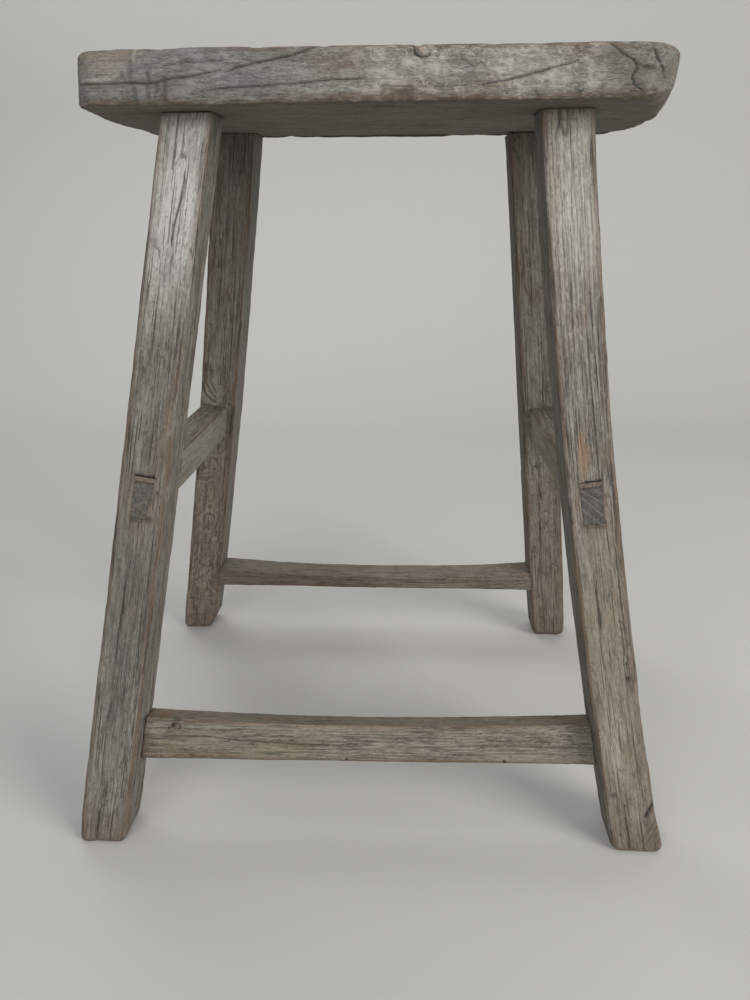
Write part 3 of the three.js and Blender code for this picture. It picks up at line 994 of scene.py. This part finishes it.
def build_leg(node):
    """A leg with its tenon: a long grid box, worn, leant over and cut for its joints."""
    line = LINES[node]
    top = SEAT_HIGH[2]
    half = line.size / 2
    low, high = np.array([-half[0], -half[1], 0]), np.array([half[0], half[1], top])
    piece = new_piece(node + "_weathered", grid_box(low, high, LEG_CELLS))
    local = points_of(piece.data)
    seed = LEG_SEED + 100 * LEGS.index(node)
    uneven = 2.6 + 1.1 * noise(local, (30, 30, 34), seed + 50) + 0.7 * noise(local, (8, 8, 12), seed + 51)
    uneven = np.clip(uneven, 1.2, 5.5) + 3.2 * fall(local[:, 2], 2, 22)
    foot = FOOT_ROUND[node] + noise(local, (10, 10, 10), seed + 52)
    bottom = np.where(local[:, 2] < top / 2, foot, 1e-3)
    worn, facing = soften(local, low, high, np.stack([uneven, uneven, bottom], axis=1))
    shaped = worn + facing * leg_marks(node, worn, facing).relief[:, None]
    if node == "leg_front_right":
        shaped[:, 0] += 1.6 * fall(shaped[:, 2], 4, 30) * rise(shaped[:, 0], 0, half[0])
    if node == "leg_rear_left":
        shaped[:, 0] -= 3.2 * fall(shaped[:, 2], 2, 14) * rise(shaped[:, 0], half[0] - 9, half[0])
    # The tenon and the foot stay level with the seat's top and the floor.
    shaped[:, 2] = np.clip(shaped[:, 2], 0.0, top - 0.3)
    shaped[:, :2] += line.centre(shaped[:, 2])
    set_points(piece.data, shaped * MM)
    corner = node[4:]
    joined = []
    for name in NODES:
        own_wedge = name.replace("stretcher", "wedge") + "_at_" + corner
        if name.endswith("_at_" + corner) or own_wedge in NODES:
            joined.append(name)
    cut_away(piece, ((("seat", "wedge_seat_" + corner), LEG_TENON_GAP), (joined, LEG_MORTISE_GAP)))
    points = points_of(piece.data) / MM
    local = points.copy()
    local[:, :2] -= line.centre(points[:, 2])
    marks = leg_marks(node, local, normals_of(piece.data))
    sharp = edge_sharpness(piece.data)
    inner = rise(local[:, 0] * (1 if node.endswith("left") else -1), 8, 14) * marks.face(1, -1)
    edge_wear(marks, np.clip(sharp * (0.75 + 0.5 * inner), 0, 1), local, seed + 60)
    marks.tint(END_GRAIN, (points[:, 2] > SEAT_LOW[2] + 2) * 0.6)
    finish_piece(piece, marks, local, node)


# The stretchers.


class StretcherFrame:
    """A stretcher's own axes, found from its legs and its CAD solid."""

    def __init__(self, node):
        self.legs = [leg for leg in LEGS if node.removeprefix("stretcher") in leg]
        first, second = (LINES[leg] for leg in self.legs)
        points = points_of(NODES[node].data) / MM
        level = (points[:, 2].min() + points[:, 2].max()) / 2
        start = np.append(first.centre(level), level)
        end = np.append(second.centre(level), level)
        along = (end - start) / np.linalg.norm(end - start)
        lean = np.zeros(3)
        for leg in (first, second):
            lean[:2] += leg.head - leg.foot
            lean[2] += leg.head_level
        across = np.cross(along, lean)
        across /= np.linalg.norm(across)
        up = np.cross(across, along)
        self.axes = np.stack([along, up, across], axis=1)
        local = points @ self.axes
        self.low = local.min(axis=0)
        self.high = local.max(axis=0)


STRETCHER_FRAMES = {node: StretcherFrame(node) for node in STRETCHERS}


# Cracks in the front stretcher's face, with their seeds and darkness.
LONG_CRACK = [(-144, 1.5), (-108, 1.5), (-94, -1), (-77, -1.5), (-49, -3), (-20, -4)]
FRONT_STRETCHER_CRACKS = (
    (LONG_CRACK, 1.1, 1.1, 2061, 0.85),
    ([(150, -3), (90, -2), (30, -4)], 0.8, 0.5, 2064, 0.6),
    ([(155, -8), (110, -7.5), (60, -9)], 0.8, 0.5, 2067, 0.55),
    ([(-30, 6), (20, 7), (60, 6)], 0.7, 0.4, 2069, 0.4),
)
# Nail holes: centre, radius and depth.
NAIL_HOLES = (
    ((-133.5, 9.3), 2.3, 2.4),
    ((-136.8, 7.4), 1.2, 1.0),
    ((94.5, -14), 1.7, 1.8),
    ((-14, -13.5), 1.1, 0.8),
)


def stretcher_marks(node, local, facing):
    """Local axes: along the stretcher, up its face and across it, from the stretcher's middle."""
    marks = Marks(local, facing)
    seed = STRETCHER_SEED + 100 * STRETCHERS.index(node)
    grain = np.stack([local[:, 1], local[:, 2], local[:, 0]], axis=1)
    weather(marks, grain, seed, 0.9, 0.75)
    x, y = local[:, 0], local[:, 1]
    front, top = marks.face(2, 1), marks.face(1, 1)
    face = Side(marks, front, x, y)
    if node == "stretcher_front":
        for row in FRONT_STRETCHER_CRACKS:
            face.crack(*row)
        for row in NAIL_HOLES:
            face.hole(*row)
        face.patch((-123, -13), (2.2, 2.6), RUST, 0.8, seed + 72, 1.0)
        face.patch((-127, -10), (3, 1.5), (0.10, 0.06, 0.04), 0.5, seed + 73, 0.2, 0.8)
        face.knot((63, 11), (4, 2.4), seed + 76)
        edges = rise(np.abs(y) + noise(local, (20, 4, 4), seed + 80) * 3, 9, 15)
        marks.tint((0.125, 0.10, 0.072), front * edges * 0.5)
        face.patch((136, -11), (3, 3.5), SOOT, 0.5, seed + 77, 0.3, 0.8)
        marks.tint((0.25, 0.205, 0.155), top * 0.6)
        Side(marks, top, x, local[:, 2]).patch((-141, 2), (7, 7), RUST, 0.8, seed + 78, 0.2, 0.8)
        pale = rise(noise(grain, (9, 9, 60), seed + 79), 0.0, 0.6)
        marks.tint((0.33, 0.29, 0.235), front * pale * 0.4)
    elif node == "stretcher_rear":
        # Painted shade: the rear stretcher is darker all over, back under the seat.
        marks.tint((0.070, 0.056, 0.042), 0.35)
        marks.tint((0.25, 0.22, 0.18), top * 0.4)
        face.patch((-112, 5), (2, 2), SOOT, 0.8, seed + 70, 0.8)
    elif node == "stretcher_left":
        # Painted light: the left stretcher's inner face, turned to the light, is paler.
        marks.tint((0.34, 0.32, 0.28), front * 0.5)
    else:
        marks.tint((0.34, 0.32, 0.28), marks.face(2, -1) * 0.2)
    return marks, grain


# Grid cells up and across a stretcher, and the cells' length along it, in millimetres.
LONG_STRETCHER_CELLS = (52, 44)
SHORT_STRETCHER_CELLS = (54, 44)
LONG_CELL, SHORT_CELL = 0.9, 1.1


def build_stretcher(node, settings):
    """A stretcher with its tenons: one grid box, cut to shape by the legs it runs into."""
    own = STRETCHER_FRAMES[node]
    long_way = own.high[0] - own.low[0]
    middle = (own.low + own.high) / 2
    half = (own.high - own.low) / 2
    cells = (int(long_way / SHORT_CELL), *SHORT_STRETCHER_CELLS)
    if node in STRETCHERS[:2]:
        cells = (int(long_way / LONG_CELL), *LONG_STRETCHER_CELLS)
    piece = new_piece(node + "_weathered", grid_box(-half, half, cells))
    local = points_of(piece.data)
    seed = STRETCHER_SEED + 100 * STRETCHERS.index(node)
    uneven = 1.7 + 0.8 * noise(local, (34, 9, 9), seed + 50) + 0.5 * noise(local, (9, 6, 6), seed + 51)
    uneven = np.clip(uneven, 0.8, 4)
    ends = np.full(len(local), 1e-3)
    worn, facing = soften(local, -half, half, np.stack([ends, uneven, uneven], axis=1))
    marks, _ = stretcher_marks(node, worn, facing)
    shaped = worn + facing * marks.relief[:, None]
    if node in STRETCHERS[:2]:
        # Feet have worn the tops of these stretchers hollow.
        hollow = settings.hollow if node == "stretcher_rear" else settings.front_hollow
        part = np.clip(shaped[:, 0] / (half[0] * 0.86), -1, 1)
        upper = rise(shaped[:, 1], -half[1] * 0.6, half[1])
        shaped[:, 1] -= hollow / MM * (1 - part ** 2) * upper
    # The ends slant with the legs and stop just below their outer faces.
    level = float((own.axes @ middle)[2])
    axis = 0 if abs(own.axes[0, 0]) > 0.5 else 1
    for leg, way in zip(own.legs, (-1, 1)):
        line = LINES[leg]
        face = np.append(line.centre(level), level)
        face[axis] += way * (line.size[axis] / 2 - settings.tenon_shy / MM)
        slant = np.append(line.head - line.foot, line.head_level)
        side = np.zeros(3)
        side[1 - axis] = 1
        normal = np.cross(slant, side) @ own.axes
        face = face @ own.axes - middle
        reach = face[0] - ((shaped[:, 1:] - face[1:]) @ normal[1:]) / normal[0]
        part = np.clip(way * shaped[:, 0] / half[0], 0, 2)
        shaped[:, 0] += part * (reach - way * half[0])
    set_points(piece.data, (shaped + middle) @ own.axes.T * MM)
    wedges = [name for name in NODES if name.startswith(node.replace("stretcher", "wedge") + "_at_")]
    cut_away(piece, ((own.legs, STRETCHER_TENON_GAP), (wedges, STRETCHER_WEDGE_GAP)))
    points = points_of(piece.data) / MM
    local = points @ own.axes - middle
    facing = normals_of(piece.data) @ own.axes
    marks, grain = stretcher_marks(node, local, facing)
    edge_wear(marks, edge_sharpness(piece.data) * 0.8, grain, seed + 60)
    # The tenons' ends are dark end grain with a few paler rings.
    tip = np.abs(facing[:, 0]) * rise(np.abs(local[:, 0]), half[0] - 24, half[0] - 19)
    tip = rise(tip, 0.4, 0.8)
    rings = np.sin(local[:, 1] * 0.95 + local[:, 2] * 0.8 + 1.2 * noise(local, (9, 9, 9), seed + 62))
    dark, pale = (0.7, 0.35) if node == "stretcher_left" else (0.9, 0.75)
    marks.tint(END_GRAIN, tip * dark * (1 + 0.2 * noise(local, (3, 3, 3), seed + 63)))
    marks.tint((0.20, 0.195, 0.185), tip * rise(rings, 0.88, 1.0) * pale)
    finish_piece(piece, marks, grain, node)


# The wedges.

# The bevel on a wedge's edges and the size of its mesh's cells, in metres.
WEDGE_BRUISE = 0.00022
WEDGE_CELL = 0.0011


def build_wedge(node):
    """A driven wedge: the CAD wedge with its faces made fibrous and its edges bruised."""
    bm = bmesh.new()
    bm.from_mesh(NODES[node].data)
    bmesh.ops.remove_doubles(bm, verts=bm.verts, dist=1e-5)
    bmesh.ops.dissolve_limit(bm, angle_limit=0.01, verts=bm.verts, edges=bm.edges)
    bevel(bm, bm.edges[:], WEDGE_BRUISE, 2)
    for _ in range(4):
        long_edges = [edge for edge in bm.edges if edge.calc_length() > WEDGE_CELL]
        bmesh.ops.subdivide_edges(bm, edges=long_edges, cuts=1, use_grid_fill=True)
    bmesh.ops.triangulate(bm, faces=bm.faces)
    bmesh.ops.recalc_face_normals(bm, faces=bm.faces)
    piece = new_piece(node + "_split", bm)
    points = points_of(piece.data) / MM
    facing = normals_of(piece.data)
    seed = WEDGE_SEED + 7 * sorted(NODES).index(node)
    relief = 0.10 * noise(points, (2.2, 2.2, 2.2), seed)
    relief += 0.06 * noise(points, (0.9, 0.9, 0.9), seed + 1)
    relief -= 0.12
    if "_at_" in node:
        relief -= 0.9 * rise(facing[:, 2], 0.6, 0.9)
    set_points(piece.data, (points + facing * relief[:, None]) * MM)
    marks = Marks(points, facing)
    marks.darken(rise(noise(points, (1.2, 1.2, 1.2), seed + 2), 0.3, 0.9) * 0.4)
    grain = points[:, [1, 0, 2]] + 40.0 * (seed % 11)
    edge_wear(marks, np.full(len(points), 0.5), grain, seed + 3)
    if "_at_front" in node:
        marks.tint((0.155, 0.11, 0.082), 0.8)
    finish_piece(piece, marks, grain, node)


# Settings.


def length(name, description, default):
    return bpy.props.FloatProperty(name=name, description=description, default=default, unit="LENGTH")


def corner(name, default):
    return bpy.props.FloatVectorProperty(
        name=name, description="Seat corner in plan", default=default, size=2, unit="LENGTH"
    )


def colour(name, description, default):
    return bpy.props.FloatVectorProperty(
        name=name, description=description, default=default, size=3, subtype="COLOR"
    )


class StoolSettings(bpy.types.PropertyGroup):
    relief: bpy.props.FloatProperty(
        name="Weathering", description="How deep the weather has cut the grain", default=1.0, min=0, max=2
    )
    hollow: length("Rear hollow", "Depth of the hollow worn in the rear stretcher", 0.0075)
    front_hollow: length("Front hollow", "Depth of the hollow worn in the front stretcher", 0.0045)
    tenon_shy: length("Tenon shyness", "How far tenon ends stop below the legs' faces", 0.0003)
    front_left: corner("Front left corner", (-0.165, -0.105))
    front_right: corner("Front right corner", (0.185, -0.114))
    rear_right: corner("Rear right corner", (0.184, 0.102))
    rear_left: corner("Rear left corner", (-0.160, 0.094))
    left_bow: length("Left bow", "Swell of the seat's left end", 0.009)
    right_bow: length("Right bow", "Swell of the seat's right end", 0.012)
    pale_wood: colour("Silvered wood", "Palest fibre", (0.300, 0.289, 0.263))
    mid_wood: colour("Grey-brown wood", "Main colour", (0.138, 0.128, 0.110))
    deep_wood: colour("Dark fibre", "Darkest fibre", (0.052, 0.045, 0.036))
    worn_wood: colour("Worn wood", "Rubbed edges", WARM_WEAR)
    backdrop: colour("Backdrop", "Floor and backdrop", (0.54, 0.54, 0.52))

    def corners(self):
        places = (self.front_left, self.front_right, self.rear_right, self.rear_left)
        return [(place[0] / MM, place[1] / MM) for place in places]

    def bows(self):
        return self.left_bow / MM, self.right_bow / MM


# How each kind of piece differs from the legs' wood: its shade, and its streaks' shortness and darkness.
SHADES = {
    "seat": ((1.02, 1.04, 1.05), 5.0, 0.3),
    "leg": ((1.0, 0.99, 0.97), 1.0, 0.8),
    "stretcher": ((0.93, 0.87, 0.79), 1.3, 0.55),
    "wedge": ((0.8, 0.76, 0.7), 1.0, 0.8),
}


def wood_for(part):
    """The wood of the seat, legs, stretchers or wedges: one timber, each a little different."""
    settings = bpy.context.scene.milking_stool
    shade, shortness, split = SHADES[part]
    tones = []
    for tone in (settings.pale_wood, settings.mid_wood, settings.deep_wood, settings.worn_wood):
        tones.append(tuple(channel * change for channel, change in zip(tone, shade)))
    return weathered_wood(part + "_weathered_wood", *tones, shortness, split)


# Operators.


class STOOL_OT_seat(bpy.types.Operator):
    """Build the plank seat"""

    bl_idname = "stool.seat"
    bl_label = "Seat"

    def execute(self, context):
        build_seat(context.scene.milking_stool)
        return {"FINISHED"}


class STOOL_OT_legs(bpy.types.Operator):
    """Build the four legs and their tenons"""

    bl_idname = "stool.legs"
    bl_label = "Legs"

    def execute(self, context):
        for node in LEGS:
            build_leg(node)
        return {"FINISHED"}


class STOOL_OT_stretchers(bpy.types.Operator):
    """Build the four stretchers and their through tenons"""

    bl_idname = "stool.stretchers"
    bl_label = "Stretchers"

    def execute(self, context):
        for node in STRETCHERS:
            build_stretcher(node, context.scene.milking_stool)
        return {"FINISHED"}


class STOOL_OT_wedges(bpy.types.Operator):
    """Build the wedges that tighten the tenons"""

    bl_idname = "stool.wedges"
    bl_label = "Wedges"

    def execute(self, context):
        for node in sorted(NODES):
            if node.startswith("wedge"):
                build_wedge(node)
        return {"FINISHED"}


# The stage. Lengths are in metres and angles in degrees.

FLOOR_HALF = 4
WALL_PLACE = 1.7
WALL_HEIGHT = 3.4
SWEEP_ROUND = 0.7
AIR_COLOUR = (0.95, 0.95, 0.94, 1)
AIR_STRENGTH = 0.30
CAMERA_PLACE = (0.03092, -0.636, 0.4023)
CAMERA_DOWN, CAMERA_TURN, CAMERA_ROLL = 18.32, -2.35, 0.23
LENS = 29.82
# Each light's name, place, target, size, power and colour.
LIGHTS = (
    ("window", (1.75, -1.45, 1.05), (0, 0, 0.4), (1.2, 1.2), 42, (1.0, 0.98, 0.94)),
    ("fill", (-0.7, -2.3, 0.95), (0, 0, 0.45), (1.6, 1.2), 27, (0.97, 0.98, 1.0)),
    ("ceiling", (0.1, 0.9, 2.4), (0, 0.3, 0), (2.2, 2.2), 15, (1.0, 0.99, 0.97)),
    ("rear", (-1.0, 1.35, 1.75), (0, 0, 0.3), (1.0, 0.8), 8, (1.0, 0.99, 0.97)),
)


def plain_material(name, tone):
    material = bpy.data.materials.new(name)
    material.use_nodes = True
    shader = material.node_tree.nodes["Principled BSDF"]
    shader.inputs["Base Color"].default_value = (*tone, 1)
    shader.inputs["Roughness"].default_value = 0.9
    shader.inputs["Specular IOR Level"].default_value = 0.15
    return material


def soft_light(name, place, target, size, power, tone):
    data = bpy.data.lights.new(name, "AREA")
    data.shape = "RECTANGLE"
    data.size, data.size_y = size
    data.energy = power
    data.color = tone
    light = bpy.data.objects.new(name, data)
    bpy.context.scene.collection.objects.link(light)
    aim = Vector(target) - Vector(place)
    light.matrix_world = Matrix.Translation(place) @ aim.to_track_quat("-Z", "Y").to_matrix().to_4x4()


def studio_sweep():
    """A floor that curves up into a wall behind the stool."""
    bm = bmesh.new()
    bmesh.ops.create_grid(bm, x_segments=1, y_segments=1, size=FLOOR_HALF)
    rear = [edge for edge in bm.edges if all(vert.co.y > FLOOR_HALF / 2 for vert in edge.verts)]
    for vert in rear[0].verts:
        vert.co.y = WALL_PLACE
    wall = bmesh.ops.extrude_edge_only(bm, edges=rear)
    raised = [item for item in wall["geom"] if isinstance(item, bmesh.types.BMVert)]
    bmesh.ops.translate(bm, vec=(0, 0, WALL_HEIGHT), verts=raised)
    bevel(bm, rear, SWEEP_ROUND, 24)
    bmesh.ops.recalc_face_normals(bm, faces=bm.faces)
    floor = new_piece("studio_floor", bm)
    for polygon in floor.data.polygons:
        polygon.use_smooth = True
    return floor


def aimed_camera():
    """The camera, looking down at the stool from the front."""
    data = bpy.data.cameras.new("camera")
    data.sensor_fit = "AUTO"
    data.sensor_width = 36
    data.lens = LENS
    camera = bpy.data.objects.new("camera", data)
    bpy.context.scene.collection.objects.link(camera)
    down, turn, roll = (math.radians(angle) for angle in (CAMERA_DOWN, CAMERA_TURN, CAMERA_ROLL))
    ahead = Vector((math.sin(turn) * math.cos(down), math.cos(turn) * math.cos(down), -math.sin(down)))
    right = Vector((math.cos(turn), -math.sin(turn), 0))
    below = ahead.cross(right)
    across = right * math.cos(roll) + below * math.sin(roll)
    below = below * math.cos(roll) - right * math.sin(roll)
    turned = Matrix((across, -below, -ahead)).transposed()
    camera.matrix_world = Matrix.Translation(CAMERA_PLACE) @ turned.to_4x4()
    return camera


class STOOL_OT_stage(bpy.types.Operator):
    """Build the floor and backdrop, the lights and the camera"""

    bl_idname = "stool.stage"
    bl_label = "Stage"

    def execute(self, context):
        scene = context.scene
        floor = studio_sweep()
        floor.data.materials.append(plain_material("studio_paper", scene.milking_stool.backdrop))
        world = bpy.data.worlds.new("studio_air")
        world.use_nodes = True
        air = world.node_tree.nodes["Background"]
        air.inputs["Color"].default_value = AIR_COLOUR
        air.inputs["Strength"].default_value = AIR_STRENGTH
        scene.world = world
        for light in LIGHTS:
            soft_light(*light)
        scene.camera = aimed_camera()
        scene.view_settings.view_transform = "Standard"
        return {"FINISHED"}


class STOOL_PT_panel(bpy.types.Panel):
    """The stool's builders and sizes"""

    bl_idname = "STOOL_PT_panel"
    bl_label = "Milking stool"
    bl_space_type = "VIEW_3D"
    bl_region_type = "UI"
    bl_category = "Stool"

    def draw(self, context):
        layout = self.layout
        settings = context.scene.milking_stool
        for name in StoolSettings.__annotations__:
            layout.prop(settings, name)
        for operator in OPERATORS:
            layout.operator(operator.bl_idname)


OPERATORS = (STOOL_OT_stage, STOOL_OT_seat, STOOL_OT_legs, STOOL_OT_stretchers, STOOL_OT_wedges)
CLASSES = (StoolSettings, *OPERATORS, STOOL_PT_panel)


def register():
    for item in CLASSES:
        bpy.utils.register_class(item)
    bpy.types.Scene.milking_stool = bpy.props.PointerProperty(type=StoolSettings)


def unregister():
    del bpy.types.Scene.milking_stool
    for item in reversed(CLASSES):
        bpy.utils.unregister_class(item)


def main():
    register()
    bpy.ops.stool.stage()
    bpy.ops.stool.seat()
    bpy.ops.stool.legs()
    bpy.ops.stool.stretchers()
    bpy.ops.stool.wedges()


if __name__ == "__main__":
    main()
